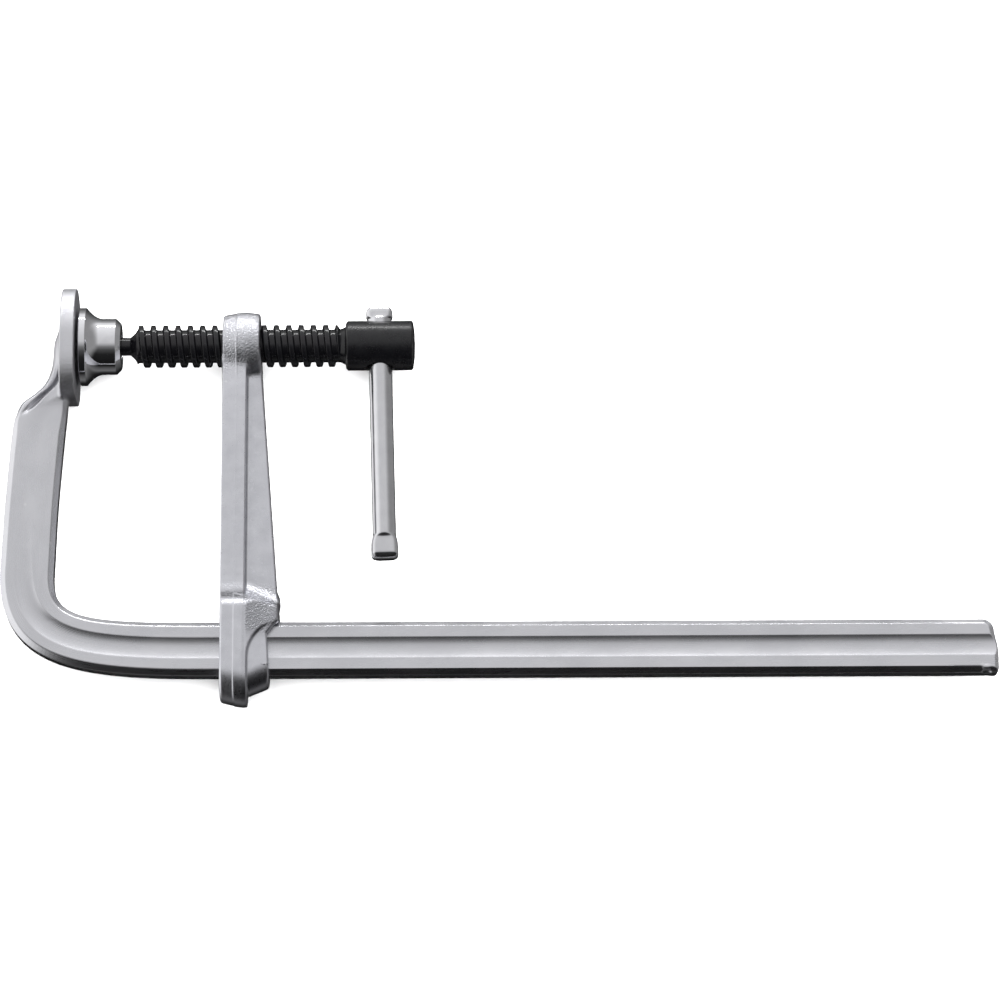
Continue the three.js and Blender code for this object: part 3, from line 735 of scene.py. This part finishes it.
def arc(centre, radii, start, end, count=24):
    """Points on an oval arc, with angles in degrees."""
    angles = np.radians(np.linspace(start, end, count))
    return np.stack([centre[0] + radii[0] * np.cos(angles), centre[1] + radii[1] * np.sin(angles)], axis=1)


def thread_radius(x, angle, clearance=0.0):
    """Radius of the thread's surface at a place along it and an angle round it, from +Y towards +Z."""
    phase = (x - THREAD_SHIFT - PITCH * angle / (2 * math.pi)) / PITCH
    away = np.abs(phase - np.round(phase)) * PITCH - CREST_WIDTH / 2 - clearance
    drop = np.clip(away / FLANK_WIDTH, 0, 1)
    return THREAD_RADIUS + clearance - (THREAD_RADIUS - ROOT_RADIUS) * drop


def step_place(x, y):
    """Distance below the step's upper edge, the step's length there, and distance behind the flange."""
    back = x - FLANGE_BACK_X
    return STEP_TOP_Y - STEP_SLANT * back - y, STEP_LENGTH - STEP_NARROWING * back, back


def flange_outline(x, y, z):
    """The flange's outline seen from the jaw: straight sides that swell at the collar, and round ends."""
    half = eased(y, *zip(*FLANGE_STEPS), 0.6)
    draft = 0.055 * np.abs(x - PARTING_X)
    low_end = COLLAR_LOW_Y + 0.19 * (FLANGE_BACK_X - x)
    beyond = np.maximum(low_end - y, 0) + np.maximum(y, 0)
    return np.hypot(beyond, z) - half + draft


def flange_field(x, y, z):
    back_draft = 0.03 * np.maximum(np.abs(z) - WEB_HALF_HEIGHT, 0)
    edge_radius = 0.5 + 0.6 * soft_step((-108 - y) / 4)
    faces = np.maximum(ARM_X - x, x - FLANGE_BACK_X + back_draft)
    return rounded_slab(flange_outline(x, y, z), faces, edge_radius)


def boss_field(x, y, z):
    facets = (ARM_X, PARTING_X, FLANGE_BACK_X + 0.2, ARM_X + BOSS_LENGTH)
    crown = np.interp(x, facets, (BOSS_END_RADIUS, 13.55, BOSS_CROWN_RADIUS, BOSS_CROWN_RADIUS - 0.7))
    return rounded_slab(np.hypot(y, z) - crown, np.maximum(ARM_X - x, x - ARM_X - BOSS_LENGTH), 0.6)


def web_field(x, y, z):
    web_back = 75.0 + (82.7 - 75.0) * np.clip((-8 - y) / 104, -0.1, 1)
    plan = np.maximum(np.maximum(x - web_back, FLANGE_BACK_X - 4 - x), np.maximum(y + 4, -122 - y))
    half = eased(y, WEB_Y, WEB_HALF, 0.8) + 0.012 * (82 - x)
    return rounded_slab(plan, (np.abs(z) - half) * 0.85, 0.9)


def collar_field(x, y, z):
    """The collar behind the flange, with its sloping step above and its round hollow below."""
    outline = np.vstack(
        [
            [[FLANGE_BACK_X - 4, -98], [FLANGE_BACK_X - 4, -152], [FLANGE_BACK_X + 0.9, -152]],
            arc(HOLLOW_CENTRE, HOLLOW_RADII, 180, 97),
            [[82.9, -117.2], [82.2, -98]],
        ]
    )
    down, length, back = step_place(x, y)
    foot_half = WEB_HALF_HEIGHT - 0.8
    top_half = COLLAR_HALF_HEIGHT - 0.2 - 0.28 * np.maximum(back, 0)
    half = foot_half + (top_half - foot_half) * np.minimum(down / length, 1)
    height = np.maximum((np.abs(z) - half) * 0.75, flange_outline(x, y, z) + 0.1)
    return rounded_slab(outline_field(x, y, outline), height, 0.5)


def cheek_field(x, y, z):
    """The thicker block behind the flange that holds the bar's slot."""
    low = np.maximum(CHEEK_LOW_Y - y, 0)
    rise = 0.42 * np.maximum(x - FLANGE_BACK_X - 2, 0) - 1.2
    side = np.hypot(np.maximum(low + np.where(y < CHEEK_LOW_Y, rise, 0), 0), z) - CHEEK_HALF_HEIGHT
    faces = np.maximum(FLANGE_BACK_X - 4 - x, (x - np.interp(y, CHEEK_Y, CHEEK_X)) * 0.8)
    return rounded_slab(np.maximum(side, y + 112), faces, 0.9)


def arm_field(x, y, z):
    """The forged sliding arm with its boss, web and collar, its slot and its threaded hole."""
    body = smooth_join(flange_field(x, y, z), boss_field(x, y, z), 1.8)
    step_fillet = 1.0 + 2.5 * soft_step((y + 112) / 4)
    body = smooth_join(body, smooth_join(web_field(x, y, z), collar_field(x, y, z), step_fillet), 1.1)
    body = smooth_join(body, cheek_field(x, y, z), 1.1)
    ridge = (0.05 + 0.13 * soft_step((y + 18) / 5)) * soft_step((np.abs(z) - 5) / 2)
    body = body - ridge * np.exp(-(((x - PARTING_X) / 0.3) ** 2))

    slot = np.maximum(
        np.abs(y - BAR_Y) - BAR_WIDTH / 2 - SLOT_CLEARANCE, np.abs(z) - BAR_HALF - SLOT_CLEARANCE
    )
    body = smooth_cut(body, slot, 0.35)
    radial = np.hypot(y, z)
    hole = radial - thread_radius(x, np.arctan2(z, y), THREAD_CLEARANCE)
    body = np.maximum(body, -hole * 0.8)
    mouth_radius = THREAD_RADIUS + 0.9
    into = np.minimum(x - ARM_X, ARM_X + BOSS_LENGTH - x)
    return smooth_cut(body, (radial - mouth_radius + np.maximum(into, 0)) * 0.7, 0.3)


def forging_roughness(points):
    """How coarse the skin is at each point: 1 on the boss and on the collar, half on the flange beside it."""
    x, y, _ = points.T
    boss = soft_step((y + 18) / 8)
    behind = soft_step((x - FLANGE_BACK_X + 0.5) / 1.5)
    collar = behind * soft_step((-y - 100) / 4) * soft_step((y + 124) / 4)
    step = soft_step((-y - 101) / 3) * soft_step((y + 113) / 3) * 0.5
    return np.maximum(np.maximum(boss, collar), step)


def scale_and_painted_shade(points):
    """Where the forging's colour is darkened: most on the steep step, which is painted shade, and less on the
    collar below it, which is the forging's matt scale.
    """
    x, y, z = points.T
    down, length, back = step_place(x, y + 0.6)
    outside = soft_step((back - 0.2) / 0.8)
    step = soft_step(down / 1.2) * soft_step((length - down) / 1.2)
    collar = soft_step(down / 2.0) * soft_step((y + 126) / 5) * soft_step((np.abs(z) - 5) / 1.5)
    return outside * np.maximum(0.85 * step, 0.6 * collar)


def make_arm():
    points, faces, normals = skin(arm_field, (ARM_X - 1, -152.4, -14.4), (84.2, 14.4, 14.4), 0.45)
    coarse = forging_roughness(points)
    # The flow's second part carries the painted shade on the step and the matt scale on the collar.
    flow = np.stack([coarse, scale_and_painted_shade(points), coarse], axis=1)
    steel = forged_steel()
    arm = piece("arm_forging", points, faces, "sliding_arm", steel, flow, normals)
    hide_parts("sliding_arm")


# ---- Spindle -------------------------------------------------------------------------------------


def thread_skin(sides=96):
    """The thread's helical surface, sinking into the screw's core at both of its ends."""
    bevel = 0.12
    crest = CREST_WIDTH / 2
    foot = crest + FLANK_WIDTH
    depth = THREAD_RADIUS - ROOT_RADIUS
    # Offsets along the screw from the middle of the crest, with the depth below it.
    profile = [
        (-foot - 0.35, depth),
        (-foot, depth - 0.05),
        (-foot + 0.12, depth - 0.35),
        (-crest - 0.04, bevel),
        (-crest + bevel, 0.0),
        (0.0, 0.0),
        (crest - bevel, 0.0),
        (crest + 0.04, bevel),
        (foot - 0.12, depth - 0.35),
        (foot, depth - 0.05),
        (foot + 0.35, depth),
    ]
    first = math.floor(THREAD_START_X / PITCH) - 1
    last = math.ceil(THREAD_END_X / PITCH) + 1
    steps = (last - first) * sides
    kinds = len(profile)
    points = []
    for i in range(steps + 1):
        angle = 2 * math.pi * i / sides
        for offset, drop in profile:
            x = PITCH * (first + i / sides) + offset + THREAD_SHIFT
            rise = max(0.0, min(1.0, (x - THREAD_START_X + 1.6) / 2.6))
            fall = max(0.0, min(1.0, (THREAD_END_X + 0.4 - x) / 2.0))
            start_limit = NECK_RADIUS - 1.0 + (THREAD_RADIUS - NECK_RADIUS + 1.2) * rise
            end_limit = ROOT_RADIUS - 1.0 + (depth + 1.2) * fall
            radius = min(THREAD_RADIUS - drop, start_limit, end_limit)
            points.append((x, radius * math.cos(angle), radius * math.sin(angle)))
    faces = []
    for i in range(steps):
        for k in range(kinds - 1):
            a = i * kinds + k
            faces.append([a, a + kinds, a + kinds + 1, a + 1])
        if i + sides < steps:
            a = i * kinds + kinds - 1
            b = (i + sides) * kinds
            faces.append([a, a + kinds, b + kinds, b])
    return np.array(points), faces


def make_spindle():
    ball_angle = math.pi - math.asin(NECK_RADIUS / BALL_RADIUS)
    tip = [
        (BALL_X - BALL_RADIUS * math.cos(a), BALL_RADIUS * math.sin(a) + 1e-3)
        for a in np.linspace(0, ball_angle, 25)
    ]
    shaft = rounded(
        [
            (BALL_X + 4.5, NECK_RADIUS),
            (21.7, NECK_RADIUS),
            (24.4, ROOT_RADIUS - 0.5),
            (25.8, ROOT_RADIUS - 0.03),
            (THREAD_END_X - 0.4, ROOT_RADIUS - 0.03),
            (HEAD_X - 0.1, HEAD_RADIUS - 2.4),
            (HEAD_X, HEAD_RADIUS - 0.9),
            (HEAD_X + 0.75, HEAD_RADIUS),
            (HEAD_X + HEAD_LENGTH - 0.6, HEAD_RADIUS),
            (HEAD_X + HEAD_LENGTH, HEAD_RADIUS - 0.9),
            (HEAD_X + HEAD_LENGTH + HEAD_DOME * 0.75, HEAD_RADIUS * 0.55),
            (HEAD_X + HEAD_LENGTH + HEAD_DOME, 0.01),
        ],
        0.35,
    )
    core_points, core_faces = turned(tip + shaft)
    oxide = black_oxide()
    core = piece("screw_blank", core_points, core_faces, "screw", oxide)

    hole_angles = 2 * math.pi * np.arange(96) / 96
    cutter_rings = []
    mouths = [(14.0, 9.4), (9.4, 5.75), (9.0, CROSS_HOLE_RADIUS)]
    for y, radius in [(-y, radius) for y, radius in mouths] + mouths[::-1]:
        cutter_rings.append(
            np.stack(
                [
                    CROSS_HOLE_X + radius * np.cos(hole_angles),
                    np.full(96, y),
                    -radius * np.sin(hole_angles),
                ],
                axis=1,
            )
        )
    cutter_points, cutter_faces = tube(cutter_rings)
    cutter_mesh = bpy.data.meshes.new("cross_hole")
    cutter_mesh.from_pydata(place(cutter_points).tolist(), [], cutter_faces)
    cutter = bpy.data.objects.new("cross_hole", cutter_mesh)
    bpy.context.scene.collection.objects.link(cutter)
    cut = core.modifiers.new("cross_hole", "BOOLEAN")
    cut.object = cutter
    cut.solver = "EXACT"
    apply_modifiers(core)
    bpy.data.objects.remove(cutter)
    crisp(core)

    thread_points, thread_faces = thread_skin()
    thread = piece("screw_thread", thread_points, thread_faces, "screw", oxide)
    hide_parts("spindle")
    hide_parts("spindle")


# ---- Tommy bar -----------------------------------------------------------------------------------


def make_tommy_bar():
    sides = 72
    top = -ROD_ABOVE
    low = ROD_BELOW
    # Distance along the rod, half width across it, half thickness and how flat its faces are pressed.
    stations = [
        (top, 4.0, 2.4, 0.9),
        (top + 0.2, 4.5, 3.0, 1.0),
        (top + 0.7, 4.95, 3.5, 1.0),
        (top + 1.6, 5.35, 3.85, 1.0),
        (top + 2.8, 5.48, 3.9, 1.0),
        (top + 3.9, 5.45, 3.95, 0.9),
        (top + 4.5, 5.2, 4.2, 0.5),
        (top + 4.9, 4.85, 4.6, 0.1),
        (top + 5.2, ROD_RADIUS, ROD_RADIUS, 0.0),
        (20.0, ROD_RADIUS, ROD_RADIUS, 0.0),
        (50.0, ROD_RADIUS, ROD_RADIUS, 0.0),
        (low - 10.6, ROD_RADIUS, ROD_RADIUS, 0.0),
        (low - 10.1, 4.77, 4.72, 0.05),
        (low - 9.7, 4.8, 4.5, 0.3),
        (low - 9.2, 4.85, 4.1, 0.7),
        (low - 8.7, 4.95, 3.92, 0.9),
        (low - 8.0, 5.15, 3.88, 1.0),
        (low - 7.0, 5.35, 3.87, 1.0),
        (low - 5.5, 5.47, 3.87, 1.0),
        (low - 3.0, 5.5, 3.87, 1.0),
        (low - 2.2, 5.5, 3.82, 1.0),
        (low - 1.9, 5.47, 3.6, 0.9),
        (low - 1.0, 5.25, 3.15, 0.8),
        (low - 0.35, 4.8, 2.6, 0.7),
        (low, 4.1, 2.0, 0.6),
    ]
    rings = []
    for along, half_width, half_thickness, flat in stations:
        power = 2 + 1.6 * flat
        ring = []
        for k in range(sides):
            angle = 2 * math.pi * k / sides
            c, s = math.cos(angle), math.sin(angle)
            reach = (abs(c) ** power + abs(s) ** power) ** (-1 / power)
            u = half_width * c * reach
            v = half_thickness * s * reach
            x = CROSS_HOLE_X + u * math.cos(ROD_LEAN) + along * math.sin(ROD_LEAN)
            y = u * math.sin(ROD_LEAN) - along * math.cos(ROD_LEAN)
            ring.append((x, y, v))
        rings.append(ring)
    points, faces = tube(rings)
    rod = piece("cross_rod", points, faces, "tommy_bar", rod_plate())
    crisp(rod, 40)
    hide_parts("tommy_bar")


# ---- Pad and ring --------------------------------------------------------------------------------


def make_pad():
    back = PAD_GAP + PAD_LENGTH
    rim_back = PAD_GAP + PAD_RIM_THICKNESS
    flare_length = 5.9
    drop = PAD_RIM_RADIUS - 0.9 - PAD_NECK_RADIUS
    flare = [
        (rim_back + 0.7 + flare_length * t, PAD_NECK_RADIUS + drop * (1 - t) ** 1.9)
        for t in np.linspace(0, 1, 14)
    ]
    outside = rounded(
        [
            (PAD_GAP, 0.01),
            (PAD_GAP, PAD_RIM_RADIUS - 0.7),
            (PAD_GAP + 0.5, PAD_RIM_RADIUS),
            (rim_back, PAD_RIM_RADIUS),
            *flare,
            (back - 2.0, PAD_NECK_RADIUS),
            (back, PAD_NECK_RADIUS - 2.0),
            (back, PAD_MOUTH_RADIUS),
            (RING_X + RING_THICKNESS + 0.6, PAD_MOUTH_RADIUS),
            (RING_X + RING_THICKNESS + 0.6, RING_GROOVE_RADIUS),
            (RING_X - 0.6, RING_GROOVE_RADIUS),
            (RING_X - 0.6, BALL_RADIUS + 0.3),
        ],
        0.22,
    )
    seat = BALL_RADIUS + 0.3
    socket = [
        (BALL_X - seat * math.sin(a), max(seat * math.cos(a), 0.01))
        for a in np.linspace(0, math.pi / 2, 18)
    ]
    points, faces = turned(outside + socket)
    pad = piece("pad_body", points, faces, "pressure_pad", bright_plate())
    crisp(pad, 30)
    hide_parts("pressure_pad")


def make_ring():
    inner = NECK_RADIUS + 0.4
    outer = RING_GROOVE_RADIUS - 0.6
    sides = 96
    angles = 2 * math.pi * np.arange(sides) / sides
    section = [
        (RING_X + 0.1, inner),
        (RING_X, inner + 0.1),
        (RING_X, outer - 0.1),
        (RING_X + 0.1, outer),
        (RING_X + RING_THICKNESS - 0.1, outer),
        (RING_X + RING_THICKNESS, outer - 0.1),
        (RING_X + RING_THICKNESS, inner + 0.1),
        (RING_X + RING_THICKNESS - 0.1, inner),
    ]
    points = [(x, r * math.cos(a), r * math.sin(a)) for a in angles for x, r in section]
    count = len(section)
    faces = []
    for i in range(sides):
        for k in range(count):
            a, b = i * count, ((i + 1) % sides) * count
            faces.append([a + k, b + k, b + (k + 1) % count, a + (k + 1) % count])
    ring = piece("holding_ring", points, faces, "screw_carrier", rod_plate())
    crisp(ring, 30)
    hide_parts("retaining_ring")


# ---- Stage ---------------------------------------------------------------------------------------


FLOOR_GAP = 0.0002  # in metres, below the lowest point of the clamp
CAMERA_ELEVATION = math.radians(74)
CAMERA_ROLL = math.radians(0.26)
CAMERA_DISTANCE = 2.0
CAMERA_LENS = 178.7
VIEW_CENTRE = (171.5, -65.5, 0.0)  # in the clamp's own axes and millimetres
ROOM_LEVELS = [
    (0, 0.012),
    (35, 0.05),
    (58, 0.2),
    (75, 0.42),
    (88, 1.05),
    (110, 1.15),
    (135, 0.98),
    (160, 0.8),
    (181, 0.7),
    (188, 0.5),
    (197, 0.22),
    (209, 0.08),
    (228, 0.02),
    (256, 0.012),
    (282, 0.012),
    (294, 0.1),
    (312, 0.18),
    (324, 0.06),
    (334, 0.012),
    (360, 0.012),
]
LEFT_LEVEL = 1.25
RIGHT_LEVEL = 0.34


def make_floor():
    half = 3.0
    corners = [(-half, -half, 0), (half, -half, 0), (half, half, 0), (-half, half, 0)]
    mesh = bpy.data.meshes.new("floor")
    mesh.from_pydata(corners, [], [[0, 1, 2, 3]])
    mesh.materials.append(pale_floor())
    floor = bpy.data.objects.new("floor", mesh)
    bpy.context.scene.collection.objects.link(floor)
    floor.location.z = min(corner[2] for corner in CAD_BOX) - FLOOR_GAP
    floor.visible_glossy = False


def make_world():
    """A room of soft panels: bright behind and to the left of the clamp, dark in front of it.

    Levels are given round a circle that starts straight down and rises through the back wall (90 degrees)
    to the ceiling (180) and then goes down the front wall (270). Both side walls have a level of their own.
    """
    world = bpy.data.worlds.new("studio")
    bpy.context.scene.world = world
    world.use_nodes = True
    tree = world.node_tree

    def add(kind, inputs, **settings):
        node = tree.nodes.new(kind)
        for key, value in settings.items():
            setattr(node, key, value)
        for key, value in inputs.items():
            if isinstance(value, bpy.types.NodeSocket):
                tree.links.new(value, node.inputs[key])
            else:
                node.inputs[key].default_value = value
        return node

    where = tree.nodes.new("ShaderNodeTexCoord").outputs["Generated"]
    x, y, z = add("ShaderNodeSeparateXYZ", {0: where}).outputs
    flat_z = add("ShaderNodeMath", {0: z, 1: -1.0}, operation="MULTIPLY").outputs[0]
    angle = add("ShaderNodeMath", {0: y, 1: flat_z}, operation="ARCTAN2").outputs[0]
    turn = add("ShaderNodeMath", {0: angle, 1: 2 * math.pi}, operation="DIVIDE").outputs[0]
    share = add("ShaderNodeMath", {0: turn, 1: 1.0}, operation="FLOORED_MODULO").outputs[0]

    def levels(stops):
        ramp = add("ShaderNodeValToRGB", {0: share})
        elements = ramp.color_ramp.elements
        while len(elements) < len(stops):
            elements.new(0.5)
        for element, (degrees, level) in zip(elements, stops):
            element.position = degrees / 360
            element.color = (level, level, level * 1.012, 1)
        return ramp.outputs["Color"]

    def rise(value, low, high):
        inputs = {0: value, 1: low, 2: high, 3: 0.0, 4: 1.0}
        return add("ShaderNodeMapRange", inputs, interpolation_type="SMOOTHSTEP").outputs[0]

    def with_wall(wall_share, room, level):
        inputs = {0: wall_share, 6: room, 7: (level, level, level, 1)}
        return add("ShaderNodeMix", inputs, data_type="RGBA").outputs[2]

    middle = levels(ROOM_LEVELS)
    left = rise(x, -0.45, -0.9)
    behind = rise(y, -0.55, -0.1)
    right = add("ShaderNodeMath", {0: rise(x, 0.35, 0.9), 1: behind}, operation="MULTIPLY").outputs[0]
    walls = with_wall(right, with_wall(left, middle, LEFT_LEVEL), RIGHT_LEVEL)
    tree.links.new(walls, tree.nodes["Background"].inputs["Color"])


def make_lamp(name, offset, width, height, power, glossy=True):
    """A soft rectangular lamp that looks at the clamp's middle."""
    data = bpy.data.lights.new(name, "AREA")
    data.shape = "RECTANGLE"
    data.size = width
    data.size_y = height
    data.energy = power
    lamp = bpy.data.objects.new(name, data)
    bpy.context.scene.collection.objects.link(lamp)
    lamp.location = offset
    lamp.rotation_euler = (-Vector(offset)).to_track_quat("-Z", "Y").to_euler()
    lamp.visible_glossy = glossy
    return lamp


def make_camera():
    """The photograph's view: from above, a little towards the bar's outer edge."""
    target = JAW_CENTRE + Vector(VIEW_CENTRE) * MM
    forward = Vector((0, math.cos(CAMERA_ELEVATION), -math.sin(CAMERA_ELEVATION)))
    upright = Vector((0, math.sin(CAMERA_ELEVATION), math.cos(CAMERA_ELEVATION)))
    right = Vector((1, 0, 0))
    side = right * math.cos(CAMERA_ROLL) - upright * math.sin(CAMERA_ROLL)
    up = right * math.sin(CAMERA_ROLL) + upright * math.cos(CAMERA_ROLL)
    data = bpy.data.cameras.new("camera")
    data.sensor_width = 36
    data.lens = CAMERA_LENS
    data.clip_end = 20
    camera = bpy.data.objects.new("camera", data)
    turn = Matrix((side, up, -forward)).transposed().to_4x4()
    camera.matrix_world = Matrix.Translation(target - forward * CAMERA_DISTANCE) @ turn
    bpy.context.scene.collection.objects.link(camera)
    bpy.context.scene.camera = camera


make_camera()
make_world()
make_lamp("overhead", (0.2, 0.3, 2.6), 4.0, 4.0, 380, glossy=False)
make_lamp("back_strip", (0.0, 1.9, 0.44), 1.6, 0.11, 12.0)
make_floor()
make_bow()
make_arm()
make_spindle()
make_tommy_bar()
make_pad()
make_ring()

bpy.context.scene.view_settings.view_transform = "Standard"
